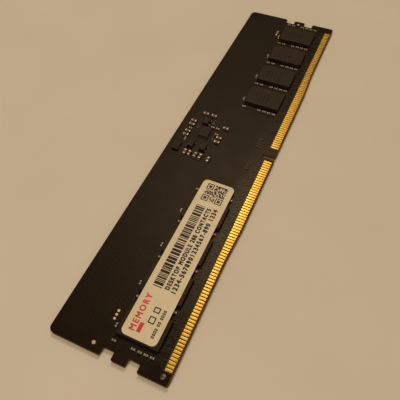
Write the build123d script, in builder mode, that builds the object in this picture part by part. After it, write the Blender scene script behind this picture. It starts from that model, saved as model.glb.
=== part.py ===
"""A 288-position memory module with memory packages on its front face.

The module lies flat. +X runs along the board from the end with contact 1, +Y runs from the
contact edge to the opposite long edge, and +Z points out of the component side. The origin is
the centre of the board's back face. Places on the board are given as two distances, measured
from the end with contact 1 and from the lowest line of the contact edge.
"""

from build123d import *
import os

# ---- the board ----
board_length = 133.35
board_height = 31.25
board_thickness = 1.27
top_corner_radius = 1.5
bottom_corner_radius = 0.6
edge_bevel = 0.26

# The contact edge is lowest along its middle, so that the contacts engage one after another.
end_recess = 0.5
first_ramp_start = 32.25
second_ramp_start = 96.85
ramp_length = 10.2

key_center = 68.28
key_width = 1.3
key_depth = 3.85
key_corner_radius = 0.4

latch_notch_depth = 1.95
latch_notch_height = 3.0
latch_notch_centers = (9.5, 16.1)
latch_notch_radius = 0.45
latch_tab_radius = 0.35

tooling_hole_place = (1.75, 2.45)
tooling_hole_diameter = 1.4

# ---- the board's layers ----
back_laminate_thickness = 0.95
inner_sheet_thickness = 0.16
plane_copper_thickness = 0.035
plane_low = 4.6
plane_high = board_height - 0.8
plane_end_margin = 3.2
plane_corner_radius = 1.0
power_plane_gap = 0.4
power_plane_split = 62.0

# ---- edge contacts ----
contact_pitch = 0.85
contact_width = 0.6
contact_thickness = 0.04
contact_corner_radius = 0.12
contact_top = 2.66
contact_edge_gap = 0.34
first_contact_center = 3.35
contacts_before_key = 75
contacts_after_key = 69
key_pitch_count = 7
mask_step_margin = 0.25
mask_step_top = 2.9

# ---- bare pads ----
pad_clearance = 0.15
pad_thickness = 0.04
fiducial_diameter = 0.85
fiducial_places = ((1.95, 20.0), (131.7, 12.95))
test_pad_diameter = 0.6
test_pad_row = 18.5
test_pad_offsets = (-0.8, 0.2, 1.2)

# ---- memory packages ----
package_width = 7.5
package_length = 11.0
package_row = 10.95
package_pitch = 11.35
package_group_starts = (9.45, 89.85)
packages_per_group = 4
ball_radius = 0.225
ball_height = 0.25
ball_pitch = 0.8
ball_columns_per_side = 3
ball_rows = 13
ball_column_center = 2.4
substrate_thickness = 0.15
cap_thickness = 0.7
die_width = 6.2
die_length = 9.3
die_thickness = 0.3
index_mark_diameter = 0.6
index_mark_depth = 0.03
index_mark_inset = 0.75
cap_edge_round = 0.04

# ---- leadless chips: power management and hub ----
land_thickness = 0.05
leadless_body_height = 0.75
leadless_die_thickness = 0.25
leadless_pad_length = 0.4
leadless_pad_toe = 0.1
leadless_pad_gap = 0.4
leadless_die_share = 0.8
leadless_mark_diameter = 0.4
power_chip_size = (4.0, 3.0)
power_chip_place = (69.7, 22.6)
power_chip_pad_width = 0.22
power_chip_pad_pitch = 0.4
power_chip_pads_along = 8
power_chip_pads_across = 6
hub_chip_size = (3.0, 2.0)
hub_chip_place = (61.6, 28.35)
hub_chip_pad_width = 0.25
hub_chip_pad_pitch = 0.5
hub_chip_pads_along = 4

# ---- power inductors ----
inductor_size = (2.5, 2.0, 1.0)
inductor_places = ((63.95, 24.7), (63.95, 20.8), (74.0, 24.1))
inductor_terminal_width = 0.6
inductor_terminal_length = 2.5
inductor_terminal_offset = 0.82
coil_outer_radius = 0.8
coil_inner_radius = 0.42
coil_height = 0.7
inductor_edge_round = 0.08

# ---- chip capacitors and resistors: length, width and height ----
bulk_capacitor_size = (1.6, 0.8, 0.8)
bulk_terminal = 0.36
small_capacitor_size = (1.0, 0.5, 0.5)
small_terminal = 0.24
resistor_size = (1.0, 0.5, 0.35)
land_overhang = 0.12

upright = 90
lying = 0

# Each entry is the two distances and the turn of one part.
bulk_capacitor_places = [
    (66.6, 27.7, upright),
    (68.1, 27.7, upright),
    (71.1, 27.7, upright),
    (72.6, 27.7, upright),
    (60.3, 25.05, lying),
    (60.3, 23.6, lying),
    (60.3, 21.75, lying),
    (60.3, 20.2, lying),
    (60.1, 17.6, lying),
    (67.25, 17.85, upright),
    (68.9, 17.85, upright),
    (73.3, 17.4, upright),
    (76.8, 25.4, upright),
    (76.8, 22.75, upright),
]
regulator_capacitor_places = [
    (69.65, 27.5, upright),
    (70.1, 19.1, upright),
    (72.4, 19.75, upright),
    (72.4, 21.3, upright),
    (65.2, 27.2, lying),
]
regulator_resistor_places = [
    (73.7, 21.65, upright),
    (70.9, 25.6, upright),
    (71.7, 25.6, upright),
    (75.0, 21.9, lying),
    (68.9, 19.7, lying),
]

# Small capacitors stand in columns beside the memory packages.
column_offset = 5.35
column_rows = (15.9, 14.2, 10.95, 9.3, 7.75, 6.2)
column_row_without_part = 14.2
row_part_offset = 2.0
row_part_line = 17.15

# Resistors in the clock and command lines stand just above the contacts, near the key.
line_resistor_row = 6.15
line_resistor_groups = ((61.65, 0.75), (70.65, 0.95))
line_resistors_per_group = 4

# ---- the paper label, laid over the first group of packages ----
label_size = (47.1, 9.05)
label_thickness = 0.1
label_corner_radius = 1.3
label_place = (29.63, 10.87)
label_skew = -0.2

# How near a point must be to a plane to count as lying on it.
touch = 0.01

board_plane = Plane(origin=(-board_length / 2, -board_height / 2, 0))
package_height = ball_height + substrate_thickness + cap_thickness
last_contact_before_key = first_contact_center + contact_pitch * (contacts_before_key - 1)
first_contact_after_key = last_contact_before_key + contact_pitch * key_pitch_count


def seat(along, up, height=board_thickness):
    """The plane of a place on the board, at a height above the back face."""
    return Plane(origin=(along - board_length / 2, up - board_height / 2, height))


def package_centers():
    """Distances of the memory packages from the end with contact 1."""
    return [
        start + package_pitch * step
        for start in package_group_starts
        for step in range(packages_per_group)
    ]


def write(part, name):
    """Label a finished piece and write it as one STEP file."""
    part.label = name
    export_step(part, f"parts/{name}.step")


def edge_line(along):
    """How far the contact edge stands back from its lowest line."""
    mirrored = first_ramp_start + second_ramp_start + ramp_length - along
    from_ramp = min(along, mirrored) - first_ramp_start
    return end_recess * min(1.0, max(0.0, 1 - from_ramp / ramp_length))


def contact_centers():
    """Distances of one face's contacts from the end with contact 1."""
    before = [first_contact_center + contact_pitch * step for step in range(contacts_before_key)]
    after = [first_contact_after_key + contact_pitch * step for step in range(contacts_after_key)]
    return before + after


# ---- the board ----
def end_corners(board):
    """The upright edges that lie on the board's two end faces."""
    return board.edges().filter_by(Axis.Z).filter_by(
        lambda edge: abs(edge.center().X) > board_length / 2 - touch
    )


def board_outline():
    """The whole board as one block: outline, bevel, notches, hole and contact steps."""
    with BuildPart() as board:
        with BuildSketch(board_plane):
            with BuildLine():
                Polyline(
                    (0, end_recess),
                    (first_ramp_start, end_recess),
                    (first_ramp_start + ramp_length, 0),
                    (second_ramp_start, 0),
                    (second_ramp_start + ramp_length, end_recess),
                    (board_length, end_recess),
                    (board_length, board_height),
                    (0, board_height),
                    close=True,
                )
            make_face()
        extrude(amount=board_thickness)
        low_line = -board_height / 2 + end_recess + touch
        contact_edges = board.edges().filter_by(
            lambda edge: edge.center().Y < low_line
            and not touch < edge.center().Z < board_thickness - touch
        )
        chamfer(contact_edges, edge_bevel)

        # the key slot, the latch notches and the tooling hole
        with BuildSketch(board_plane):
            with Locations((key_center, 0)):
                RectangleRounded(key_width, 2 * key_depth, key_corner_radius)
            with Locations(
                *[(end, center) for end in (0, board_length) for center in latch_notch_centers]
            ):
                RectangleRounded(2 * latch_notch_depth, latch_notch_height, latch_notch_radius)
            with Locations(tooling_hole_place):
                Circle(tooling_hole_diameter / 2)
        extrude(amount=board_thickness, mode=Mode.SUBTRACT)

        fillet(end_corners(board).group_by(Axis.Y)[-1], top_corner_radius)
        fillet(end_corners(board).group_by(Axis.Y)[0], bottom_corner_radius)
        lowest_tab = latch_notch_centers[0] - latch_notch_height - board_height / 2
        highest_tab = latch_notch_centers[-1] + latch_notch_height - board_height / 2
        tab_corners = end_corners(board).filter_by(
            lambda edge: lowest_tab < edge.center().Y < highest_tab
        )
        fillet(tab_corners, latch_tab_radius)

        # the contacts and the bare pads lie in steps as deep as the lacquer and foil are thick
        for face_plane, depth in (
            (board_plane.offset(board_thickness), -contact_thickness),
            (board_plane, contact_thickness),
        ):
            with BuildSketch(face_plane):
                for first, count in (
                    (first_contact_center, contacts_before_key),
                    (first_contact_after_key, contacts_after_key),
                ):
                    run = contact_pitch * (count - 1)
                    with Locations((first + run / 2, 0)):
                        Rectangle(
                            run + contact_width + 2 * mask_step_margin,
                            2 * mask_step_top,
                        )
            extrude(amount=depth, mode=Mode.SUBTRACT)
        with BuildSketch(board_plane.offset(board_thickness)):
            with Locations(*fiducial_places):
                Circle(fiducial_diameter / 2 + pad_clearance)
            with Locations(*test_pad_places()):
                Circle(test_pad_diameter / 2 + pad_clearance)
        extrude(amount=-pad_thickness, mode=Mode.SUBTRACT)
    return board.part


def power_plane_shape(surface):
    """Two copper areas side by side, drawn on a surface of the board."""
    with BuildSketch(surface) as shape:
        left = plane_end_margin
        right = board_length - plane_end_margin
        middle = (plane_low + plane_high) / 2
        for low, high in (
            (left, power_plane_split - power_plane_gap / 2),
            (power_plane_split + power_plane_gap / 2, right),
        ):
            with Locations(((low + high) / 2, middle)):
                RectangleRounded(high - low, plane_high - plane_low, plane_corner_radius)
    return shape.sketch


def ground_plane_shape(surface):
    """One copper area under the whole component field, drawn on a surface of the board."""
    with BuildSketch(surface) as shape:
        with Locations((board_length / 2, (plane_low + plane_high) / 2)):
            RectangleRounded(
                board_length - 2 * plane_end_margin,
                plane_high - plane_low,
                plane_corner_radius,
            )
    return shape.sketch


def make_board():
    """The laminate in three layers, with the power and ground copper between them."""
    whole = board_outline()
    back_top = back_laminate_thickness
    inner_top = back_laminate_thickness + inner_sheet_thickness
    power_shape = power_plane_shape(board_plane.offset(back_top))
    ground_shape = ground_plane_shape(board_plane.offset(inner_top))

    with BuildPart() as back_laminate:
        add(whole)
        split(bisect_by=Plane.XY.offset(back_top), keep=Keep.BOTTOM)
        extrude(power_shape, amount=-plane_copper_thickness, mode=Mode.SUBTRACT)
    write(back_laminate.part, "board_laminate")

    with BuildPart() as power_plane:
        extrude(power_shape, amount=-plane_copper_thickness)
    write(power_plane.part, "power_plane_copper")

    with BuildPart() as inner_sheet:
        add(whole)
        split(bisect_by=Plane.XY.offset(back_top), keep=Keep.TOP)
        split(bisect_by=Plane.XY.offset(inner_top), keep=Keep.BOTTOM)
        extrude(ground_shape, amount=-plane_copper_thickness, mode=Mode.SUBTRACT)
    write(inner_sheet.part, "inner_laminate_sheet")

    with BuildPart() as ground_plane:
        extrude(ground_shape, amount=-plane_copper_thickness)
    write(ground_plane.part, "ground_plane_copper")

    with BuildPart() as front_sheet:
        add(whole)
        split(bisect_by=Plane.XY.offset(inner_top), keep=Keep.TOP)
    write(front_sheet.part, "front_laminate_sheet")


# ---- contacts and pads ----
def make_contacts(name, face_plane, depth):
    """One face's row of gold contacts, each reaching down to just above the bevel."""
    with BuildPart() as contacts:
        with BuildSketch(face_plane):
            for center in contact_centers():
                low = edge_line(center) + contact_edge_gap
                with Locations((center, (low + contact_top) / 2)):
                    RectangleRounded(contact_width, contact_top - low, contact_corner_radius)
        extrude(amount=depth)
    write(contacts.part, name)


def test_pad_places():
    """Three pads above the first and the last memory package."""
    centers = package_centers()
    return [
        (center + offset, test_pad_row)
        for center in (centers[0], centers[-1])
        for offset in test_pad_offsets
    ]


def make_pads():
    """The round fiducials, and the round test pads."""
    surface = board_plane.offset(board_thickness)
    with BuildPart() as fiducials:
        with BuildSketch(surface):
            with Locations(*fiducial_places):
                Circle(fiducial_diameter / 2)
        extrude(amount=-pad_thickness)
    write(fiducials.part, "fiducial_pads")

    with BuildPart() as test_pads:
        with BuildSketch(surface):
            with Locations(*test_pad_places()):
                Circle(test_pad_diameter / 2)
        extrude(amount=-pad_thickness)
    write(test_pads.part, "test_pads")


# ---- memory packages ----
def make_memory_package(number, center):
    """Solder balls, substrate, die and moulded cap of one ball-grid package."""
    foot = seat(center, package_row)
    substrate_foot = foot.offset(ball_height)
    cap_foot = substrate_foot.offset(substrate_thickness)

    with BuildPart(foot) as balls:
        with Locations(
            (-ball_column_center, 0, ball_height / 2), (ball_column_center, 0, ball_height / 2)
        ):
            with GridLocations(ball_pitch, ball_pitch, ball_columns_per_side, ball_rows):
                Sphere(ball_radius)
        split(bisect_by=foot, keep=Keep.TOP)
        split(bisect_by=substrate_foot, keep=Keep.BOTTOM)
    write(balls.part, f"memory_solder_balls_{number}")

    with BuildPart() as substrate:
        with BuildSketch(substrate_foot):
            Rectangle(package_width, package_length)
        extrude(amount=substrate_thickness)
    write(substrate.part, f"memory_substrate_{number}")

    with BuildPart() as die:
        with BuildSketch(cap_foot):
            Rectangle(die_width, die_length)
        extrude(amount=die_thickness)
    write(die.part, f"memory_die_{number}")

    with BuildPart() as cap:
        with BuildSketch(cap_foot):
            Rectangle(package_width, package_length)
        extrude(amount=cap_thickness)
        chamfer(cap.faces().sort_by(Axis.Z)[-1].edges(), cap_edge_round)
        with BuildSketch(cap_foot):
            Rectangle(die_width, die_length)
        extrude(amount=die_thickness, mode=Mode.SUBTRACT)
        with BuildSketch(cap_foot.offset(cap_thickness)):
            with Locations(
                (index_mark_inset - package_width / 2, package_length / 2 - index_mark_inset)
            ):
                Circle(index_mark_diameter / 2)
        extrude(amount=-index_mark_depth, mode=Mode.SUBTRACT)
    write(cap.part, f"memory_cap_{number}")


# ---- leadless chips ----
def make_leadless_chip(name, place, size, pad_width, pad_pitch, pads_along, pads_across):
    """A flat leadless package: pads beneath, a die on the middle pad, and a moulded body."""
    length, width = size
    foot = seat(*place)
    body_foot = foot.offset(land_thickness)
    rim = 2 * (leadless_pad_length + leadless_pad_gap)
    middle_length = length - rim
    middle_width = width - rim if pads_across else width / 2
    die_size = (leadless_die_share * middle_length, leadless_die_share * middle_width)

    with BuildPart() as pads:
        with BuildSketch(foot):
            Rectangle(middle_length, middle_width)
            reach = width / 2 + leadless_pad_toe - leadless_pad_length / 2
            with GridLocations(pad_pitch, 2 * reach, pads_along, 2):
                Rectangle(pad_width, leadless_pad_length)
            if pads_across:
                reach = length / 2 + leadless_pad_toe - leadless_pad_length / 2
                with GridLocations(2 * reach, pad_pitch, 2, pads_across):
                    Rectangle(leadless_pad_length, pad_width)
        extrude(amount=land_thickness)
    write(pads.part, f"{name}_pads")

    with BuildPart() as die:
        with BuildSketch(body_foot):
            Rectangle(*die_size)
        extrude(amount=leadless_die_thickness)
    write(die.part, f"{name}_die")

    with BuildPart() as body:
        with BuildSketch(body_foot):
            Rectangle(length, width)
        extrude(amount=leadless_body_height)
        chamfer(body.faces().sort_by(Axis.Z)[-1].edges(), cap_edge_round)
        with BuildSketch(body_foot):
            Rectangle(*die_size)
        extrude(amount=leadless_die_thickness, mode=Mode.SUBTRACT)
        with BuildSketch(body_foot.offset(leadless_body_height)):
            with Locations((index_mark_inset - length / 2, width / 2 - index_mark_inset)):
                Circle(leadless_mark_diameter / 2)
        extrude(amount=-index_mark_depth, mode=Mode.SUBTRACT)
    write(body.part, f"{name}_body")


# ---- power inductors ----
def make_inductors():
    """Moulded bodies, each holding a wound coil and standing on two terminals."""
    length, width, height = inductor_size
    for number, place in enumerate(inductor_places, start=1):
        foot = seat(*place).offset(land_thickness)
        with BuildPart() as body:
            with BuildSketch(foot):
                Rectangle(length, width)
            extrude(amount=height)
            fillet(body.faces().sort_by(Axis.Z)[-1].edges(), inductor_edge_round)
            with BuildSketch(foot):
                Circle(coil_outer_radius)
                Circle(coil_inner_radius, mode=Mode.SUBTRACT)
            extrude(amount=coil_height, mode=Mode.SUBTRACT)
        write(body.part, f"inductor_body_{number}")

    with BuildPart() as coils:
        for place in inductor_places:
            with BuildSketch(seat(*place).offset(land_thickness)):
                Circle(coil_outer_radius)
                Circle(coil_inner_radius, mode=Mode.SUBTRACT)
            extrude(amount=coil_height)
    write(coils.part, "inductor_coils")

    with BuildPart() as terminals:
        for place in inductor_places:
            with BuildSketch(seat(*place)):
                with GridLocations(2 * inductor_terminal_offset, 0, 2, 1):
                    Rectangle(inductor_terminal_width, inductor_terminal_length)
            extrude(amount=land_thickness)
    write(terminals.part, "inductor_terminals")


# ---- chip capacitors and resistors ----
def memory_capacitor_places():
    """The columns beside the memory packages, and the single parts above them."""
    places = []
    for start in package_group_starts:
        for step in range(packages_per_group + 1):
            along = start + package_pitch * step - column_offset
            for up in column_rows:
                if step == 0 and up == column_row_without_part:
                    continue
                places.append((along, up, upright))
    for center in package_centers():
        places.append((center - row_part_offset, row_part_line, lying))
    return places


def line_resistor_places():
    """Two short groups of resistors on either side of the key."""
    return [
        (first + step * pitch, line_resistor_row, upright)
        for first, pitch in line_resistor_groups
        for step in range(line_resistors_per_group)
    ]


def place_locations(places):
    """Board places with a turn, as locations on top of the lands."""
    return [
        Location(seat(along, up).offset(land_thickness).origin, (0, 0, turn))
        for along, up, turn in places
    ]


def make_two_terminal_parts(name, places, size, terminal):
    """Bodies of one kind of chip part, and the metal terminals at both their ends."""
    length, width, height = size
    on_board = (Align.CENTER, Align.CENTER, Align.MIN)
    with BuildPart() as bodies:
        with Locations(*place_locations(places)):
            Box(length - 2 * terminal, width, height, align=on_board)
    write(bodies.part, f"{name}_bodies")

    with BuildPart() as terminals:
        with Locations(*place_locations(places)):
            with GridLocations(length - terminal, 0, 2, 1):
                Box(terminal, width, height, align=on_board)
    write(terminals.part, f"{name}_terminals")


def make_solder_lands(groups):
    """Flat solder under every chip capacitor and resistor, showing as a rim at each end."""
    with BuildPart() as lands:
        for places, size, terminal in groups:
            length, width, _ = size
            land_length = terminal + land_overhang
            with Locations(
                *[
                    Location(seat(along, up).origin, (0, 0, turn))
                    for along, up, turn in places
                ]
            ):
                with GridLocations(length - terminal + land_overhang, 0, 2, 1):
                    Box(
                        land_length,
                        width + land_overhang / 2,
                        land_thickness,
                        align=(Align.CENTER, Align.CENTER, Align.MIN),
                    )
    write(lands.part, "solder_lands")


# ---- the label ----
def make_label():
    """A thin rounded sheet stuck across the tops of the first group of packages."""
    top = seat(*label_place, board_thickness + package_height).rotated((0, 0, label_skew))
    with BuildPart() as label:
        with BuildSketch(top):
            RectangleRounded(*label_size, label_corner_radius)
        extrude(amount=label_thickness)
    write(label.part, "label")


os.makedirs("parts", exist_ok=True)

make_board()
make_contacts("front_contacts", board_plane.offset(board_thickness), -contact_thickness)
make_contacts("back_contacts", board_plane, contact_thickness)
make_pads()
for package_number, package_center in enumerate(package_centers(), start=1):
    make_memory_package(package_number, package_center)
make_leadless_chip(
    "power_chip",
    power_chip_place,
    power_chip_size,
    power_chip_pad_width,
    power_chip_pad_pitch,
    power_chip_pads_along,
    power_chip_pads_across,
)
make_leadless_chip(
    "hub_chip",
    hub_chip_place,
    hub_chip_size,
    hub_chip_pad_width,
    hub_chip_pad_pitch,
    hub_chip_pads_along,
    0,
)
make_inductors()

small_capacitor_places = memory_capacitor_places() + regulator_capacitor_places
resistor_places = line_resistor_places() + regulator_resistor_places
make_two_terminal_parts(
    "bulk_capacitor", bulk_capacitor_places, bulk_capacitor_size, bulk_terminal
)
make_two_terminal_parts(
    "small_capacitor", small_capacitor_places, small_capacitor_size, small_terminal
)
make_two_terminal_parts("resistor", resistor_places, resistor_size, small_terminal)
make_solder_lands(
    [
        (bulk_capacitor_places, bulk_capacitor_size, bulk_terminal),
        (small_capacitor_places, small_capacitor_size, small_terminal),
        (resistor_places, resistor_size, small_terminal),
    ]
)
make_label()
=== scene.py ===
"""The looks of a memory module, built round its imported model.

Lengths are millimetres in the named values, and metres in the meshes. The module lies flat:
X runs from the end with contact 1, Y from the contact edge, and Z out of the component side.
"""

import math
import random

import bmesh
import bpy
from mathutils import Matrix, Vector


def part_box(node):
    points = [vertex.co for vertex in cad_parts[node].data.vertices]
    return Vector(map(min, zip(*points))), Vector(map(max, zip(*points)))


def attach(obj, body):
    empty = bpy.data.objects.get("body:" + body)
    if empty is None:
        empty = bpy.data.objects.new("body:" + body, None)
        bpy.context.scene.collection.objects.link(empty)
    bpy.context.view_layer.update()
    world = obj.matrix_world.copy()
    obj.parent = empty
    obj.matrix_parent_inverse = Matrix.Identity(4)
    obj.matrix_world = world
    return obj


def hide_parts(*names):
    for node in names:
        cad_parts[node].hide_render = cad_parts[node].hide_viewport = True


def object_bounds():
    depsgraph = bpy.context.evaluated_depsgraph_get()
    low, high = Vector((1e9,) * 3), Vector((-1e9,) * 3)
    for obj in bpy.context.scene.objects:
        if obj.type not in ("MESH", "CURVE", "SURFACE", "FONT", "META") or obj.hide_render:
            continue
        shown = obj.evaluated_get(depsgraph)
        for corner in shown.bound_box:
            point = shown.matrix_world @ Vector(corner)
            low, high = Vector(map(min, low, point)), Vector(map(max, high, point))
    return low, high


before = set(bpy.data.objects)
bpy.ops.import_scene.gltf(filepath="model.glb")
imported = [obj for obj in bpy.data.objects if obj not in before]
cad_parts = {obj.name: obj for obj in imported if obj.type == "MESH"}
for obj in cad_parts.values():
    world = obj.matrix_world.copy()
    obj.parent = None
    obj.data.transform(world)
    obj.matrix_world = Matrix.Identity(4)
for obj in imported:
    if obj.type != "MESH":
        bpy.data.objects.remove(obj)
cad_low, cad_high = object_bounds()

mm = 0.001
weld_reach = 0.001
thinnest_face = 0.0005

# ---- camera and light ----
camera_place = Vector((-81.85, -33.15, 102.35)) * mm
camera_direction = Vector((0.5045, 0.25697, -0.82429))
camera_up = Vector((0.75855, 0.3241, 0.5653))
camera_lens = 40.624
camera_sensor = 36.0
camera_clip = (0.005, 20.0)

light_color = (1.0, 0.8, 0.55)
key_direction = Vector((0.46, 0.15, 0.87))
key_distance = 0.8
key_size = 0.26
key_power = 1.9
fill_direction = Vector((-0.85, 0.1, 0.85))
fill_distance = 0.9
fill_size = 0.45
fill_power = 3.2
room_color = (1.0, 0.73, 0.46)
room_strength = 0.2

floor_reach = 3.0
floor_gap = 0.03

# ---- the board's surface detail ----
contact_corner = 0.06
contact_profile = ((0.0, 0.0), (0.004, 0.2), (0.038, 0.92), (0.055, 1.0))
lacquer_step_top = 2.9
tail_width = 0.24
trace_width = 0.17
trace_height = 0.02
trace_shoulder = 0.04
trace_overlap = 0.03
least_bend_cosine = 0.5
via_radius = 0.26
via_profile = ((0.0, 0.0), (0.05, 0.9), (0.11, 1.0), (0.17, 0.35))
via_corners = 14
ground_contact_step = 3
ground_stub_length = 1.0
ground_stub_share = 1.4
signal_rise = 0.5
signal_stagger = 0.22
signal_reach = (0.8, 1.25)
signal_drift = 0.22
signal_drift_limit = 1.3
straight_drift = 0.4

# ---- chip parts ----
chip_body_inset = 0.018
chip_corner = 0.05
chip_edge = 0.045
body_edge = 0.03
body_reach = 0.1
fillet_share = 0.62
fillet_clearance = 0.006
fillet_hollow = 2.4
fillet_levels = 6
land_corner = 0.07
overglaze_thickness = 0.03
overglaze_corner = 0.06
overglaze_edge_share = 0.7

inductor_corner = 0.14
inductor_edge = 0.1
inductor_edge_steps = 4
foot_corner = 0.08
foot_edge = 0.02
foot_fillet_corner = 0.05
foot_fillet_depth = 0.02
foot_fillet_root = 0.2
foot_fillet_height = 0.5
foot_fillet_hollow = 2.2
foot_fillet_levels = 5

flank_height = 0.2
flank_hollow = 2
flank_levels = 4
flank_gap = 0.01
flank_corner = 0.035
flank_lift = 0.004
pad_corner = 0.03
pad_edge = 0.01

# ---- the dashes on the packages ----
mark_rows = 4
mark_row_pitch = 1.25
mark_top_margin = 3.0
mark_side_margins = (1.5, 2.0)
mark_height = 0.55
mark_corner = 0.08
mark_levels = (-0.01, 0.004)
mark_lengths = (0.35, 0.5, 0.5, 0.7)
mark_gaps = (0.25, 0.25, 0.6)

# ---- the label ----
label_size = (47.1, 9.05)
label_turn = -0.2
label_corner = 1.3
label_thickness = 0.1
label_sag = 0.05
label_droop = 0.16
label_edge = 0.02
label_corner_steps = 8
label_middle_steps = 90
ink_thickness = 0.012
ink_layer = 0.004
ink_gap = 0.003
ink_step = 0.8
ink_smooth_below = 20
letter_spacing = 1.3
letter_curve_steps = 3
letter_extrusion = 0.5
bar_widths = (0.25, 0.3, 0.5, 0.75)
bar_gaps = (0.14, 0.18, 0.3)
framed_cells = 7
framed_core = (2, 5)
cell_run_limit = 4
cell_chance = 0.62

# What is printed, in millimetres from the label's lower left corner: left, right, bottom, top.
# The square code has its lower left corner, its size and its number of cells instead.
bar_code_place = (13.1, 38.4, 5.05, 7.55)
first_line_place = (13.3, 38.2, 3.2, 4.5)
second_line_place = (13.1, 38.6, 1.45, 2.8)
line_weight = 0.16
small_line_place = (1.6, 8.6, 1.25, 2.1)
small_line_weight = 0.08
frame_places = ((4.5, 6.2, 2.75, 4.35), (7.2, 8.6, 2.75, 4.35))
frame_line = 0.28
red_word_place = (1.5, 10.9, 6.1, 7.7)
red_word_weight = 0.12
red_bar_place = (1.6, 4.0, 4.75, 5.75)
cell_code_corner = (40.2, 1.55)
cell_code_size = 5.9
cell_code_cells = 21

rng = random.Random(288)


# ---- finishes ----
class Finish:
    """A material: one surface shader, and the procedural textures that feed it."""

    def __init__(self, name, color, roughness, metallic=0.0, specular=0.5):
        self.material = bpy.data.materials.new(name)
        self.material.use_nodes = True
        self.tree = self.material.node_tree
        self.shader = self.tree.nodes["Principled BSDF"]
        self.shader.inputs["Metallic"].default_value = metallic
        self.shader.inputs["Specular IOR Level"].default_value = specular
        self.shader.inputs["Roughness"].default_value = roughness
        self.shader.inputs["Base Color"].default_value = (*color, 1.0)
        self.place = self.node("ShaderNodeTexCoord").outputs["Object"]

    def node(self, kind, **settings):
        made = self.tree.nodes.new(kind)
        for name, value in settings.items():
            setattr(made, name, value)
        return made

    def link(self, output, target):
        self.tree.links.new(output, target)

    def math(self, operation, first, second=None):
        """One arithmetic step, on sockets or plain numbers."""
        step = self.node("ShaderNodeMath", operation=operation)
        for socket, value in zip(step.inputs, (first, second)):
            if value is None:
                continue
            if isinstance(value, (int, float)):
                socket.default_value = value
            else:
                self.link(value, socket)
        return step.outputs[0]

    def axis(self, letter):
        """One coordinate of the surface point, in millimetres."""
        parts = self.node("ShaderNodeSeparateXYZ")
        self.link(self.place, parts.inputs[0])
        return self.math("MULTIPLY", parts.outputs[letter], 1000)

    def noise(self, size, detail=2.0, stretch=(1, 1, 1)):
        """Noise from 0 to 1 with features about size millimetres across, stretched by axis."""
        mapping = self.node("ShaderNodeMapping")
        mapping.inputs["Scale"].default_value = [1000 / (size * part) for part in stretch]
        self.link(self.place, mapping.inputs["Vector"])
        texture = self.node("ShaderNodeTexNoise")
        texture.inputs["Scale"].default_value = 1.0
        texture.inputs["Detail"].default_value = detail
        self.link(mapping.outputs["Vector"], texture.inputs["Vector"])
        return texture.outputs["Fac"]

    def spread(self, value, low, high, start=0.3, end=0.7):
        """A value that runs from low to high as the input runs from start to end."""
        change = self.node("ShaderNodeMapRange")
        self.link(value, change.inputs["Value"])
        change.inputs["From Min"].default_value = start
        change.inputs["From Max"].default_value = end
        change.inputs["To Min"].default_value = low
        change.inputs["To Max"].default_value = high
        return change.outputs["Result"]

    def blend(self, factor, first, second):
        """A mixture of two colours, each a socket or a plain colour."""
        mixer = self.node("ShaderNodeMix", data_type="RGBA")
        self.link(factor, mixer.inputs[0])
        for socket, value in ((mixer.inputs[6], first), (mixer.inputs[7], second)):
            if isinstance(value, tuple):
                socket.default_value = (*value, 1.0)
            else:
                self.link(value, socket)
        return mixer.outputs[2]

    def color(self, output):
        self.link(output, self.shader.inputs["Base Color"])

    def roughness(self, output):
        self.link(output, self.shader.inputs["Roughness"])

    def bump(self, height, depth):
        """Raises the surface by up to depth millimetres where the height is 1."""
        relief = self.node("ShaderNodeBump")
        relief.inputs["Strength"].default_value = 1.0
        relief.inputs["Distance"].default_value = depth * mm
        self.link(height, relief.inputs["Height"])
        self.link(relief.outputs["Normal"], self.shader.inputs["Normal"])


def scaled(color, factor):
    return tuple(part * factor for part in color)


def simple_finish(name, color, roughness, metallic=0.0, specular=0.5, grain=0.4, depth=0.004,
                  variety=0.25, patch=3.0):
    """A finish whose colour drifts slowly, with a fine grain in its gloss and relief."""
    finish = Finish(name, color, roughness, metallic, specular)
    drift = finish.spread(finish.noise(patch, 3.0), 0.0, 1.0)
    finish.color(finish.blend(drift, scaled(color, 1 - variety), scaled(color, 1 + variety)))
    fine = finish.noise(grain, 3.0)
    finish.roughness(finish.spread(fine, roughness * 0.85, roughness * 1.15))
    finish.bump(fine, depth)
    return finish.material


lacquer_color = (0.0079, 0.0046, 0.0028)
lacquer_tint = (1.0, 0.84, 0.68)
lacquer_depth = 0.01
lacquer_shades = (0.41, 0.6)
lacquer_roughness = (0.38, 0.43)
smooth_band = (4.8, 8.0)
smooth_gain = 0.1
laminate_shades = ((0.05, 0.021, 0.006), (0.17, 0.078, 0.02))
laminate_roughening = 0.2
hatch_pitch = 0.535
hatch_contrast = 0.41
hatch_relief = 1.6
board_relief = 0.006
# The darker gold low on the contacts, and the paler gold of the painted highlight higher up; a
# random drift also mixes the two
gold_shades = ((0.52, 0.27, 0.023), (0.63, 0.47, 0.12))


def hatched_copper(finish):
    """Crossed lines of ground copper under the lacquer, as a shade about 0, and 0 off the copper."""
    turn = math.tau / (hatch_pitch * math.sqrt(2))
    x = finish.math("MULTIPLY", finish.axis("X"), turn)
    y = finish.math("MULTIPLY", finish.axis("Y"), turn)
    rising = finish.math("COSINE", finish.math("SUBTRACT", x, y))
    falling = finish.math("COSINE", finish.math("ADD", x, y))
    lines = finish.math("MAXIMUM", rising, falling)
    shade = finish.spread(lines, -hatch_contrast, hatch_contrast, 0.0, 0.8)
    low, high = box_mm("ground_plane_copper")
    for letter, side, edge in (
        ("X", "GREATER_THAN", low.x),
        ("X", "LESS_THAN", high.x),
        ("Y", "GREATER_THAN", low.y),
        ("Y", "LESS_THAN", high.y),
    ):
        inside = finish.math(side, finish.axis(letter), edge)
        shade = finish.math("MULTIPLY", shade, inside)
    return shade


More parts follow.
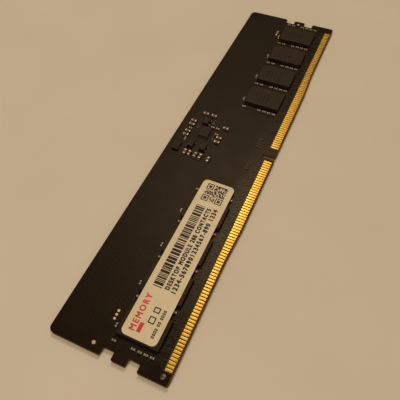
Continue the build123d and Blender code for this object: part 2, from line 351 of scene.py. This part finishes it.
def board_finish():
    """Dark lacquer on both faces, and bare glass-cloth laminate on the edges and in the steps.

    Hatched copper shows faintly under the lacquer, which is smoother by the contacts.
    """
    finish = Finish("board", lacquer_color, 0.4, specular=0.16)
    finish.shader.inputs["Specular Tint"].default_value = (*lacquer_tint, 1.0)
    middle = (board_top + board_low.z) / 2
    half = (board_top - board_low.z) / 2
    from_middle = finish.math("ABSOLUTE", finish.math("SUBTRACT", finish.axis("Z"), middle))
    lacquered = finish.math("GREATER_THAN", from_middle, half - lacquer_depth)
    hatch = hatched_copper(finish)
    drift = finish.spread(finish.noise(9.0, 3.0), *lacquer_shades)
    shade = finish.math("ADD", drift, hatch)
    lacquer = finish.blend(shade, (0.0, 0.0, 0.0), scaled(lacquer_color, 2.0))
    plies = finish.noise(0.09, 1.0, (40, 40, 1))
    fibres = finish.noise(0.3, 3.0, (1, 1, 0.4))
    cloth = finish.math("ADD", plies, finish.math("MULTIPLY", fibres, 0.5))
    laminate = finish.blend(finish.spread(cloth, 0.0, 1.0, 0.5, 1.0), *laminate_shades)
    finish.color(finish.blend(lacquered, laminate, lacquer))
    peel = finish.noise(0.5, 2.0)
    lacquer_gloss = finish.spread(finish.noise(6.0, 3.0), *lacquer_roughness)
    upward = finish.math("SUBTRACT", finish.axis("Y"), board_low.y)
    smoother = finish.spread(upward, smooth_gain, 0.0, *smooth_band)
    lacquer_gloss = finish.math("SUBTRACT", lacquer_gloss, smoother)
    bare = finish.math("SUBTRACT", 1.0, lacquered)
    edge_gloss = finish.math("MULTIPLY", bare, laminate_roughening)
    finish.roughness(finish.math("ADD", lacquer_gloss, edge_gloss))
    relief = finish.math("ADD", peel, finish.math("MULTIPLY", hatch, hatch_relief))
    finish.bump(relief, board_relief)
    return finish.material


def trace_finish():
    """The same lacquer where it runs over copper lines, which show through a little lighter."""
    return simple_finish(
        "lacquer_over_copper", scaled(lacquer_color, 2.0), 0.42, specular=0.22, grain=0.5,
        patch=6.0,
    )


def gold_finish():
    """Hard gold, paler away from the edge in a painted highlight, with fine marks along the way it
    slides in.
    """
    finish = Finish("contact_gold", (0.93, 0.66, 0.19), 0.46, metallic=1.0)
    upward = finish.math("SUBTRACT", finish.axis("Y"), board_low.y)
    # Painted highlight: the gold turns paler up each contact, away from the edge
    painted_highlight_rise = finish.spread(upward, 0.0, 0.75, 0.5, 2.4)
    drift = finish.spread(finish.noise(1.1, 2.0, (1, 3, 1)), 0.0, 0.25)
    shade = finish.math("ADD", painted_highlight_rise, drift)
    finish.color(finish.blend(shade, *gold_shades))
    wipes = finish.noise(0.09, 2.0, (1, 14, 1))
    finish.roughness(finish.spread(wipes, 0.36, 0.44))
    finish.bump(wipes, 0.0005)
    return finish.material


def pad_finish():
    """Thin immersion gold on the bare pads, paler than the hard gold of the contacts."""
    finish = Finish("pad_gold", (0.88, 0.78, 0.55), 0.38, metallic=1.0)
    cloud = finish.spread(finish.noise(0.35, 3.0), 0.0, 1.0)
    finish.color(finish.blend(cloud, (0.62, 0.52, 0.33), (0.76, 0.67, 0.48)))
    finish.roughness(finish.spread(cloud, 0.28, 0.42, 0.0, 1.0))
    finish.bump(cloud, 0.003)
    return finish.material


def paper_finish():
    """Coated label paper: a cream sheet with a faint fibre cloud and a slight tooth."""
    finish = Finish("label_paper", (0.76, 0.68, 0.53), 0.5, specular=0.35)
    cloud = finish.spread(finish.noise(2.5, 4.0), 0.0, 1.0)
    finish.color(finish.blend(cloud, (0.72, 0.64, 0.49), (0.79, 0.71, 0.56)))
    tooth = finish.noise(0.35, 3.0, (1, 1.6, 1))
    finish.roughness(finish.spread(tooth, 0.45, 0.58))
    finish.bump(tooth, 0.004)
    return finish.material


def package_finish():
    """Moulding compound: dull black-brown with pale filler grains and faint flow marks."""
    finish = Finish("package_mould", (0.0125, 0.0072, 0.0042), 0.55, specular=0.32)
    finish.shader.inputs["Specular Tint"].default_value = (*lacquer_tint, 1.0)
    flow = finish.spread(finish.noise(1.6, 3.0, (3, 1, 1)), 0.0, 1.0)
    base = finish.blend(flow, (0.011, 0.0062, 0.0036), (0.0145, 0.0085, 0.005))
    grains = finish.spread(finish.noise(0.3, 2.0), 0.0, 0.5, 0.64, 0.8)
    finish.color(finish.blend(grains, base, (0.035, 0.022, 0.014)))
    fine = finish.noise(0.22, 3.0)
    finish.roughness(finish.spread(fine, 0.52, 0.6))
    finish.bump(fine, 0.006)
    return finish.material


def floor_finish():
    """A pale studio surface with a very faint mottle."""
    finish = Finish("floor_pale", (0.72, 0.69, 0.64), 0.7, specular=0.3)
    cloud = finish.spread(finish.noise(30.0, 4.0), 0.0, 1.0)
    finish.color(finish.blend(cloud, (0.705, 0.675, 0.625), (0.735, 0.705, 0.655)))
    return finish.material


def make_finishes():
    """Every finish by name."""
    return {
        "board": board_finish(),
        "trace": trace_finish(),
        "gold": gold_finish(),
        "pad": pad_finish(),
        "copper": simple_finish("inner_copper", (0.82, 0.36, 0.2), 0.35, metallic=1.0),
        "solder": simple_finish(
            "solder", (0.36, 0.33, 0.31), 0.42, metallic=1.0, grain=0.3, variety=0.12, patch=1.5
        ),
        "terminal": simple_finish(
            "plated_terminal", (0.43, 0.39, 0.36), 0.46, metallic=1.0, grain=0.25, variety=0.1,
            patch=1.2,
        ),
        "matt_terminal": simple_finish(
            "matt_terminal", (0.44, 0.4, 0.37), 0.52, metallic=1.0, grain=0.2, variety=0.15,
            patch=0.9,
        ),
        "dull_terminal": simple_finish(
            "dull_terminal", (0.09, 0.076, 0.066), 0.55, metallic=1.0, grain=0.2, variety=0.2,
            patch=0.9,
        ),
        "dark_ceramic": simple_finish(
            "bulk_capacitor_ceramic", (0.11, 0.055, 0.035), 0.5, grain=0.25, depth=0.003,
            patch=2.0,
        ),
        "tan_ceramic": simple_finish(
            "small_capacitor_ceramic", (0.15, 0.105, 0.08), 0.45, grain=0.2, depth=0.003,
            patch=1.0,
        ),
        "alumina": simple_finish("resistor_alumina", (0.16, 0.13, 0.1), 0.55, grain=0.2),
        "glaze": simple_finish(
            "resistor_glaze", (0.009, 0.006, 0.004), 0.42, specular=0.3, grain=0.3, depth=0.003,
            patch=1.5,
        ),
        "ferrite": simple_finish(
            "inductor_mould", (0.017, 0.0115, 0.0085), 0.6, specular=0.3, grain=0.22, depth=0.012,
            patch=0.8,
        ),
        "package": package_finish(),
        "substrate": simple_finish("package_substrate", (0.03, 0.028, 0.016), 0.5, grain=0.3),
        "silicon": simple_finish("silicon_die", (0.2, 0.2, 0.22), 0.25, metallic=0.6),
        "laser": simple_finish(
            "laser_mark", (0.018, 0.011, 0.007), 0.62, specular=0.16, grain=0.2, patch=0.7
        ),
        "paper": paper_finish(),
        "black_ink": simple_finish(
            "black_ink", (0.008, 0.006, 0.006), 0.5, specular=0.3, grain=0.3, depth=0.003,
            patch=2.0,
        ),
        "red_ink": simple_finish(
            "red_ink", (0.62, 0.035, 0.018), 0.45, grain=0.3, depth=0.003, patch=2.0, variety=0.12
        ),
        "floor": floor_finish(),
    }


# ---- mesh building ----
class Shape:
    """Collects closed solids for one piece, with points in millimetres."""

    def __init__(self):
        self.points = []
        self.faces = []

    def loft(self, rings):
        """A closed solid through rings of equally many points, counter-clockwise from above."""
        start = len(self.points)
        count = len(rings[0])
        for points in rings:
            self.points.extend(points)
        for level in range(len(rings) - 1):
            base = start + level * count
            for index in range(count):
                after = (index + 1) % count
                self.faces.append(
                    (base + index, base + after, base + count + after, base + count + index)
                )
        self.faces.append(tuple(start + index for index in reversed(range(count))))
        top = start + (len(rings) - 1) * count
        self.faces.append(tuple(top + index for index in range(count)))

    def piece(self, name, finish, replaced=(), smooth_below=40):
        """The collected solids as one object that rides on the module."""
        mesh = bpy.data.meshes.new(name)
        mesh.from_pydata([Vector(point) * mm for point in self.points], [], self.faces)
        tidy = bmesh.new()
        tidy.from_mesh(mesh)
        bmesh.ops.dissolve_degenerate(tidy, dist=thinnest_face * mm, edges=tidy.edges)
        bmesh.ops.recalc_face_normals(tidy, faces=tidy.faces)
        tidy.to_mesh(mesh)
        tidy.free()
        mesh.materials.append(finishes[finish])
        mesh.polygons.foreach_set("use_smooth", [True] * len(mesh.polygons))
        mesh.set_sharp_from_angle(angle=math.radians(smooth_below))
        made = bpy.data.objects.new(name, mesh)
        bpy.context.scene.collection.objects.link(made)
        weighted = made.modifiers.new("weighted_normals", "WEIGHTED_NORMAL")
        weighted.keep_sharp = True
        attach(made, "root")
        if replaced:
            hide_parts(*replaced)


def rounded_outline(low, high, radius, steps=3):
    """Points round a rectangle with rounded corners, counter-clockwise from above."""
    reach = min(radius, (high[0] - low[0]) / 2, (high[1] - low[1]) / 2)
    points = []
    for x, y, start in (
        (high[0] - reach, high[1] - reach, 0),
        (low[0] + reach, high[1] - reach, 90),
        (low[0] + reach, low[1] + reach, 180),
        (high[0] - reach, low[1] + reach, 270),
    ):
        for step in range(steps + 1):
            angle = math.radians(start + 90 * step / steps)
            points.append((x + reach * math.cos(angle), y + reach * math.sin(angle)))
    return points


def ring(low, high, radius, z, steps=3):
    return [(x, y, z) for x, y in rounded_outline(low, high, radius, steps)]


def rounded_block_rings(low, high, radius, edge, steps=3):
    """Rings of a block with rounded upright corners and a rounded rim round its top."""
    rings = [ring(low, high, radius, low[2]), ring(low, high, radius, high[2] - edge)]
    for step in range(1, steps + 1):
        angle = math.radians(90 * step / steps)
        inset = edge * (1 - math.cos(angle))
        rings.append(
            ring(
                (low[0] + inset, low[1] + inset),
                (high[0] - inset, high[1] - inset),
                radius - inset,
                high[2] - edge + edge * math.sin(angle),
            )
        )
    return rings


def upside_down(rings, level):
    """The same rings mirrored in a level plane, in an order that keeps the solid's faces right."""
    return [[(x, y, 2 * level - z) for x, y, z in points] for points in reversed(rings)]


def box_mm(node):
    """A CAD node's lowest and highest corners, in millimetres."""
    low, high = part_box(node)
    return low / mm, high / mm


def solids(node):
    """The boxes, in millimetres, of a CAD node's separate solids, in order along X then Y."""
    work = bmesh.new()
    work.from_mesh(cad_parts[node].data)
    bmesh.ops.remove_doubles(work, verts=work.verts, dist=weld_reach * mm)
    waiting = set(work.verts)
    boxes = []
    while waiting:
        first = waiting.pop()
        front = [first]
        low = first.co.copy()
        high = first.co.copy()
        while front:
            vertex = front.pop()
            low = Vector(map(min, low, vertex.co))
            high = Vector(map(max, high, vertex.co))
            for edge in vertex.link_edges:
                other = edge.other_vert(vertex)
                if other in waiting:
                    waiting.remove(other)
                    front.append(other)
        boxes.append((low / mm, high / mm))
    work.free()
    return sorted(boxes, key=lambda box: (round(box[0].x, 2), round(box[0].y, 2)))


def grown(box, amount):
    low, high = box
    step = Vector((amount, amount, 0))
    return low - step, high + step


# ---- the board ----
board_low = box_mm("board_laminate")[0]
board_top = box_mm("front_laminate_sheet")[1].z


def cover(node, finish):
    """Gives a CAD node one of the finishes."""
    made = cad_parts[node]
    for place in made.material_slots:
        place.material = finishes[finish]


def strip(shape, path, width, base, height):
    """A low ridge along a path, with sloping shoulders; its height may be negative."""
    rings = []
    for index, point in enumerate(path):
        before = path[max(index - 1, 0)]
        after = path[min(index + 1, len(path) - 1)]
        along = (Vector(after) - Vector(before)).normalized()
        side = Vector((along.y, -along.x))
        half = width / 2
        bend = 1.0
        if 0 < index < len(path) - 1:
            turn = (Vector(point) - Vector(before)).normalized()
            bend = 1 / max(least_bend_cosine, turn.dot(along))
        corners = []
        for offset, lift in (
            (half, 0.0),
            (half - trace_shoulder, 1.0),
            (trace_shoulder - half, 1.0),
            (-half, 0.0),
        ):
            spot = Vector(point) + side * offset * bend
            corners.append((spot.x, spot.y, base + height * lift))
        rings.append(corners)
    shape.loft(rings)


def via(shape, x, y, base, height):
    """A plated hole closed with lacquer: a low round rim with a dimple."""
    rings = []
    for inset, lift in via_profile:
        radius = via_radius - inset
        points = []
        for step in range(via_corners):
            angle = math.tau * step / via_corners
            spot = (x + radius * math.cos(angle), y + radius * math.sin(angle))
            points.append((*spot, base + height * lift))
        rings.append(points)
    shape.loft(rings)


def make_contacts(name, node, outward):
    """Gold plates whose etched flanks slope in towards the top, one for each contact of a face."""
    plates = Shape()
    for low, high in solids(node):
        rings = []
        for inset, rise in contact_profile:
            edge = Vector((inset, inset, 0))
            level = low.z + (high.z - low.z) * rise
            rings.append(ring(low + edge, high - edge, contact_corner, level, steps=2))
        if outward < 0:
            rings = upside_down(rings, (low.z + high.z) / 2)
        plates.loft(rings)
    plates.piece(name, "gold", [node])


def make_traces(name, node, face, outward, package_middles):
    """Copper lines and closed holes that show through the lacquer above one row of contacts."""
    lines = Shape()
    start = board_low.y + lacquer_step_top
    height = trace_height * outward
    for index, (low, high) in enumerate(solids(node)):
        x = (low.x + high.x) / 2
        floor = face - (high.z - low.z) * outward
        tail = [(x, high.y - trace_overlap), (x, start)]
        strip(lines, tail, tail_width, floor, face - floor + height)
        if index % ground_contact_step == ground_contact_step - 1:
            top = start + ground_stub_length
            strip(lines, [(x, start), (x, top)], tail_width * ground_stub_share, face, height)
            via(lines, x, top, face, height)
            continue
        nearest = min(package_middles, key=lambda middle: abs(middle - x))
        drift = (nearest - x) * signal_drift
        drift = max(-signal_drift_limit, min(signal_drift_limit, drift))
        rise = start + signal_rise + signal_stagger * (index % ground_contact_step)
        top = rise + abs(drift) + rng.uniform(*signal_reach)
        path = [(x, start), (x, rise), (x + drift, rise + abs(drift)), (x + drift, top)]
        strip(lines, path, trace_width, face, height)
        if outward < 0 or abs(drift) < straight_drift:
            via(lines, x + drift, top, face, height)
    lines.piece(name, "trace")


# ---- chip parts ----
def make_chip_bodies(name, node, finish, drop=0.0):
    """Rounded bodies, a little narrower than the metal caps on their ends and set into them."""
    bodies = Shape()
    for low, high in solids(node):
        inset = Vector((chip_body_inset, chip_body_inset, 0))
        top = high - inset - Vector((0, 0, chip_body_inset + drop))
        along_x = high.x - low.x > high.y - low.y
        reach = Vector((body_reach, 0, 0)) if along_x else Vector((0, body_reach, 0))
        bodies.loft(rounded_block_rings(low + inset - reach, top + reach, body_edge, body_edge))
    bodies.piece(name, finish, [node])


def make_overglaze(node):
    """The dark glaze across the top of each resistor."""
    glaze = Shape()
    for low, high in solids(node):
        base = Vector((low.x, low.y, high.z - chip_body_inset - overglaze_thickness))
        inset = Vector((chip_body_inset, chip_body_inset, 0))
        top = high - inset - Vector((0, 0, chip_body_inset / 2))
        edge = overglaze_thickness * overglaze_edge_share
        glaze.loft(rounded_block_rings(base + inset, top, overglaze_corner, edge))
    glaze.piece("resistor_overglaze", "glaze")


def make_terminals(name, node, finish):
    """Metal caps wrapped round the ends, with soft rims."""
    caps = Shape()
    for low, high in solids(node):
        caps.loft(rounded_block_rings(low, high, chip_corner, chip_edge))
    caps.piece(name, finish, [node])


def overlap(first, second):
    """Whether two boxes cover some of the same board."""
    return all(
        first[0][axis] < second[1][axis] and second[0][axis] < first[1][axis] for axis in (0, 1)
    )


def make_solder(lands, terminals):
    """Solder on each land, drawn up the terminal that stands on it in a hollow curve."""
    solder = Shape()
    for land in lands:
        cap = next(box for box in terminals if overlap(land, box))
        collar = grown(cap, fillet_clearance)
        height = land[1].z - land[0].z + (cap[1].z - cap[0].z) * fillet_share
        rings = []
        for level in range(fillet_levels + 1):
            rise = level / fillet_levels
            closing = 1 - (1 - rise) ** fillet_hollow
            low = land[0].lerp(collar[0], closing)
            high = land[1].lerp(collar[1], closing)
            rings.append(ring(low, high, land_corner, land[0].z + height * rise))
        solder.loft(rings)
    solder.piece("solder_fillets", "solder", ["solder_lands"])


# ---- inductors and leadless chips ----
def make_inductors():
    """Pressed powder bodies with soft rims, and terminals with solder drawn up their ends."""
    bodies = [box_mm(f"inductor_body_{number}") for number in (1, 2, 3)]
    for number, (low, high) in enumerate(bodies, 1):
        block = Shape()
        block.loft(
            rounded_block_rings(low, high, inductor_corner, inductor_edge, inductor_edge_steps)
        )
        block.piece(
            f"inductor_{number}", "ferrite", [f"inductor_body_{number}"]
        )
    terminals = Shape()
    for low, high in solids("inductor_terminals"):
        terminals.loft(rounded_block_rings(low, high, foot_corner, foot_edge))
        body = next(box for box in bodies if overlap((low, high), box))
        for inner, outer in ((body[0].y, low.y), (body[1].y, high.y)):
            wall = inner + math.copysign(foot_fillet_depth, outer - inner)
            root = inner - (outer - inner) * foot_fillet_root
            rings = []
            for level in range(foot_fillet_levels + 1):
                rise = level / foot_fillet_levels
                reach = wall + (outer - wall) * (1 - rise) ** foot_fillet_hollow
                near, far = sorted((root, reach))
                z = low.z + foot_fillet_height * rise
                rings.append(ring((low.x, near), (high.x, far), foot_fillet_corner, z))
            terminals.loft(rings)
    terminals.piece("inductor_feet", "solder", ["inductor_terminals"])


def make_chip_flanks(name, body_node, pad_node):
    """Pads of a leadless chip, with a little solder against the plated wall of each."""
    feet = Shape()
    body = box_mm(body_node)
    for low, high in solids(pad_node):
        feet.loft(rounded_block_rings(low, high, pad_corner, pad_edge))
        outside = [low.x < body[0].x, high.x > body[1].x, low.y < body[0].y, high.y > body[1].y]
        if not any(outside):
            continue
        rings = []
        for level in range(flank_levels + 1):
            rise = level / flank_levels
            closing = 1 - (1 - rise) ** flank_hollow
            edge_low = low.copy()
            edge_high = high.copy()
            if outside[0]:
                edge_low.x = low.x + (body[0].x - flank_gap - low.x) * closing
            if outside[1]:
                edge_high.x = high.x + (body[1].x + flank_gap - high.x) * closing
            if outside[2]:
                edge_low.y = low.y + (body[0].y - flank_gap - low.y) * closing
            if outside[3]:
                edge_high.y = high.y + (body[1].y + flank_gap - high.y) * closing
            z = low.z + flank_lift + flank_height * rise
            rings.append(ring(edge_low, edge_high, flank_corner, z))
        feet.loft(rings)
    feet.piece(name, "solder", [pad_node])


def make_package_marks(tops):
    """Faint laser marks: rows of plain dashes on each package, with no lettering."""
    marks = Shape()
    for low, high in tops:
        for row in range(mark_rows):
            y = high.y - mark_top_margin - mark_row_pitch * row
            x = low.x + mark_side_margins[0]
            while x < high.x - mark_side_margins[1]:
                length = rng.choice(mark_lengths)
                far_corner = (x + length, y + mark_height)
                rings = []
                for lift in mark_levels:
                    rings.append(ring((x, y), far_corner, mark_corner, high.z + lift, steps=2))
                marks.loft(rings)
                x += length + rng.choice(mark_gaps)
    marks.piece("package_marks", "laser")


# ---- the label ----
label_box = box_mm("label")
label_middle = (label_box[0] + label_box[1]) / 2
label_left = -label_size[0] / 2
label_bottom = -label_size[1] / 2
package_boxes = [box_mm(f"memory_cap_{number}") for number in range(1, 9)]
covered = [box for box in package_boxes if box[0].x < label_box[1].x]


def label_level(x):
    """How far the sheet hangs below its flat place, at a place along the module."""
    for before, after in zip(covered, covered[1:]):
        gap = after[0].x - before[1].x
        if before[1].x < x < after[0].x:
            return label_sag * math.sin(math.pi * (x - before[1].x) / gap) ** 2
    past = x - covered[-1][1].x
    if past > 0:
        return label_droop * (past / (label_box[1].x - covered[-1][1].x)) ** 2
    return 0.0


def on_label(along, across, lift):
    """A point from the label's own lower left corner, as a point of the module."""
    turn = Matrix.Rotation(math.radians(label_turn), 2)
    flat = turn @ Vector((label_left + along, label_bottom + across))
    x = label_middle.x + flat.x
    y = label_middle.y + flat.y
    return (x, y, label_box[1].z + lift - label_level(x))


def make_label():
    """A thin sheet that rests on four packages, sags between them and droops past the last."""
    sheet = Shape()
    length, width = label_size
    corner_stations = []
    for step in range(label_corner_steps + 1):
        angle = math.pi / 2 * step / label_corner_steps
        corner_stations.append(label_corner * (1 - math.cos(angle)))
    span = length - 2 * label_corner
    stations = list(corner_stations)
    for step in range(1, label_middle_steps):
        stations.append(label_corner + span * step / label_middle_steps)
    stations += [length - along for along in reversed(corner_stations)]
    rings = []
    for along in stations:
        from_end = min(along, length - along)
        cut = 0.0
        if from_end < label_corner:
            cut = label_corner - math.sqrt(label_corner**2 - (label_corner - from_end) ** 2)
        low = cut
        high = width - cut
        rings.append(
            [
                on_label(along, low, -label_thickness),
                on_label(along, low, -label_edge),
                on_label(along, low + label_edge, 0.0),
                on_label(along, high - label_edge, 0.0),
                on_label(along, high, -label_edge),
                on_label(along, high, -label_thickness),
            ]
        )
    sheet.loft(rings)
    sheet.piece("paper_label", "paper", ["label"])


def ink_bar(shape, left, right, bottom, top):
    """A printed rectangle that follows the sheet, a hair clear of any rectangle beside it."""
    left, right = left + ink_gap, right - ink_gap
    bottom, top = bottom + ink_gap, top - ink_gap
    steps = max(1, math.ceil((right - left) / ink_step))
    rings = []
    for step in range(steps + 1):
        along = left + (right - left) * step / steps
        rings.append(
            [
                on_label(along, bottom, -ink_thickness),
                on_label(along, bottom, ink_thickness),
                on_label(along, top, ink_thickness),
                on_label(along, top, -ink_thickness),
            ]
        )
    shape.loft(rings)


def ink_frame(shape, left, right, bottom, top, line):
    """A printed rectangle drawn as an outline."""
    ink_bar(shape, left, right, bottom, bottom + line)
    ink_bar(shape, left, right, top - line, top)
    ink_bar(shape, left, left + line, bottom + line, top - line)
    ink_bar(shape, right - line, right, bottom + line, top - line)


def print_words(shape, words, left, right, bottom, top, weight):
    """Plain capitals and figures, fitted to a rectangle.

    They are printed four times, which thickens the strokes: as they are, shifted by the weight
    across, up and both ways, and each a layer higher than the one before.
    """
    curve = bpy.data.curves.new("words", "FONT")
    curve.body = words
    curve.space_character = letter_spacing
    curve.extrude = letter_extrusion
    curve.resolution_u = letter_curve_steps
    holder = bpy.data.objects.new("words", curve)
    bpy.context.scene.collection.objects.link(holder)
    bpy.context.view_layer.update()
    view = bpy.context.evaluated_depsgraph_get()
    mesh = bpy.data.meshes.new_from_object(holder.evaluated_get(view))
    bpy.data.objects.remove(holder)
    xs = [vertex.co.x for vertex in mesh.vertices]
    ys = [vertex.co.y for vertex in mesh.vertices]
    low_x, wide = min(xs), max(xs) - min(xs)
    low_y, tall = min(ys), max(ys) - min(ys)
    width = right - left - weight
    height = top - bottom - weight
    for layer, (step_x, step_y) in enumerate(((0, 0), (1, 0), (0, 1), (1, 1))):
        start = len(shape.points)
        surface = ink_thickness + ink_layer * layer
        for vertex in mesh.vertices:
            along = left + weight * step_x + width * (vertex.co.x - low_x) / wide
            across = bottom + weight * step_y + height * (vertex.co.y - low_y) / tall
            lift = surface if vertex.co.z > 0 else -surface
            shape.points.append(on_label(along, across, lift))
        for polygon in mesh.polygons:
            shape.faces.append(tuple(start + index for index in polygon.vertices))


def print_bar_code(shape, left, right, bottom, top):
    """Upright bars of random widths, which encode nothing."""
    along = left
    while along < right:
        width = rng.choice(bar_widths)
        ink_bar(shape, along, min(along + width, right), bottom, top)
        along += width + rng.choice(bar_gaps)


def print_cell_code(shape, left, bottom, size, cells):
    """A square of random cells with a framed square in three corners, which encodes nothing."""
    cell = size / cells
    corner = framed_cells + 1
    for row in range(cells):
        column = 0
        while column < cells:
            in_corner = (column < corner or column >= cells - corner) and (
                row >= cells - corner or (row < corner and column < corner)
            )
            run = 0
            while not in_corner and column + run < cells and run < cell_run_limit:
                if rng.random() >= cell_chance:
                    break
                if column + run >= cells - corner and row >= cells - corner:
                    break
                run += 1
            if run:
                start = left + column * cell
                level = bottom + row * cell
                ink_bar(shape, start, start + run * cell, level, level + cell)
            column += run + 1
    last = cells - framed_cells
    for corner_column, corner_row in ((0, 0), (0, last), (last, last)):
        x = left + corner_column * cell
        y = bottom + corner_row * cell
        ink_frame(shape, x, x + framed_cells * cell, y, y + framed_cells * cell, cell)
        near, far = (step * cell for step in framed_core)
        ink_bar(shape, x + near, x + far, y + near, y + far)


def make_print():
    """All the printing on the sheet, with plain words and figures only."""
    black = Shape()
    print_bar_code(black, *bar_code_place)
    print_words(black, "DESKTOP MODULE 288 CONTACTS", *first_line_place, line_weight)
    print_words(black, "1234-5678901234567-890 1234", *second_line_place, line_weight)
    print_cell_code(black, *cell_code_corner, cell_code_size, cell_code_cells)
    print_words(black, "0000 00 0000", *small_line_place, small_line_weight)
    for place in frame_places:
        ink_frame(black, *place, frame_line)
    black.piece("label_black_print", "black_ink", smooth_below=ink_smooth_below)
    red = Shape()
    print_words(red, "MEMORY", *red_word_place, red_word_weight)
    ink_bar(red, *red_bar_place)
    red.piece("label_red_print", "red_ink", smooth_below=ink_smooth_below)


# ---- stage ----
def make_floor():
    """A wide pale floor just under the module."""
    mesh = bpy.data.meshes.new("floor")
    corners = [(-1, -1), (1, -1), (1, 1), (-1, 1)]
    level = cad_low.z - floor_gap * mm
    mesh.from_pydata(
        [(x * floor_reach, y * floor_reach, level) for x, y in corners], [], [(0, 1, 2, 3)]
    )
    mesh.materials.append(finishes["floor"])
    floor = bpy.data.objects.new("floor", mesh)
    bpy.context.scene.collection.objects.link(floor)


def make_area_light(name, direction, distance, size, power):
    """A soft square light that shines on the module's middle."""
    data = bpy.data.lights.new(name, "AREA")
    data.shape = "SQUARE"
    data.size = size
    data.energy = power
    data.color = light_color
    light = bpy.data.objects.new(name, data)
    away = direction.normalized()
    light.location = away * distance
    light.rotation_mode = "QUATERNION"
    light.rotation_quaternion = away.to_track_quat("Z", "Y")
    bpy.context.scene.collection.objects.link(light)


def make_lights():
    """A light high over the far end, a broader one over the near end, and a warm room."""
    make_area_light("key_light", key_direction, key_distance, key_size, key_power)
    make_area_light("fill_light", fill_direction, fill_distance, fill_size, fill_power)
    world = bpy.data.worlds.new("studio")
    world.use_nodes = True
    background = world.node_tree.nodes["Background"]
    background.inputs["Color"].default_value = (*room_color, 1.0)
    background.inputs["Strength"].default_value = room_strength
    bpy.context.scene.world = world


def make_camera():
    """A camera above the end with contact 1, looking along the module."""
    data = bpy.data.cameras.new("camera")
    data.sensor_width = camera_sensor
    data.lens = camera_lens
    data.clip_start, data.clip_end = camera_clip
    camera = bpy.data.objects.new("camera", data)
    back = -camera_direction.normalized()
    right = camera_up.cross(back).normalized()
    turn = Matrix((right, back.cross(right), back)).transposed()
    camera.matrix_world = Matrix.Translation(camera_place) @ turn.to_4x4()
    bpy.context.scene.collection.objects.link(camera)
    bpy.context.scene.camera = camera
    bpy.context.scene.view_settings.view_transform = "Standard"


# ---- putting it together ----
finishes = make_finishes()

make_camera()
make_lights()
make_floor()

for node in ("board_laminate", "inner_laminate_sheet", "front_laminate_sheet"):
    cover(node, "board")
for node in ("power_plane_copper", "ground_plane_copper", "inductor_coils"):
    cover(node, "copper")
for node in ("fiducial_pads", "test_pads"):
    cover(node, "pad")
for number in range(1, 9):
    cover(f"memory_cap_{number}", "package")
    cover(f"memory_substrate_{number}", "substrate")
    cover(f"memory_die_{number}", "silicon")
    cover(f"memory_solder_balls_{number}", "solder")
for chip in ("power_chip", "hub_chip"):
    cover(f"{chip}_body", "package")
    cover(f"{chip}_die", "silicon")

package_middles = [(low.x + high.x) / 2 for low, high in package_boxes]
make_contacts("gold_contacts_front", "front_contacts", 1)
make_contacts("gold_contacts_back", "back_contacts", -1)
make_traces("traces_front", "front_contacts", board_top, 1, package_middles)
make_traces("traces_back", "back_contacts", board_low.z, -1, package_middles)

for kind, finish in (("bulk_capacitor", "dark_ceramic"), ("small_capacitor", "tan_ceramic")):
    make_chip_bodies(f"{kind}_blocks", f"{kind}_bodies", finish)
make_chip_bodies("resistor_blocks", "resistor_bodies", "alumina",
                 overglaze_thickness / 2)
make_overglaze("resistor_bodies")
terminal_boxes = []
for kind, finish in (
    ("bulk_capacitor", "terminal"),
    ("small_capacitor", "matt_terminal"),
    ("resistor", "dull_terminal"),
):
    make_terminals(f"{kind}_caps", f"{kind}_terminals", finish)
    terminal_boxes += solids(f"{kind}_terminals")
make_solder(solids("solder_lands"), terminal_boxes)
make_inductors()
for chip in ("power_chip", "hub_chip"):
    make_chip_flanks(f"{chip}_feet", f"{chip}_body", f"{chip}_pads")
make_package_marks([box for box in package_boxes if box not in covered])
make_label()
make_print()
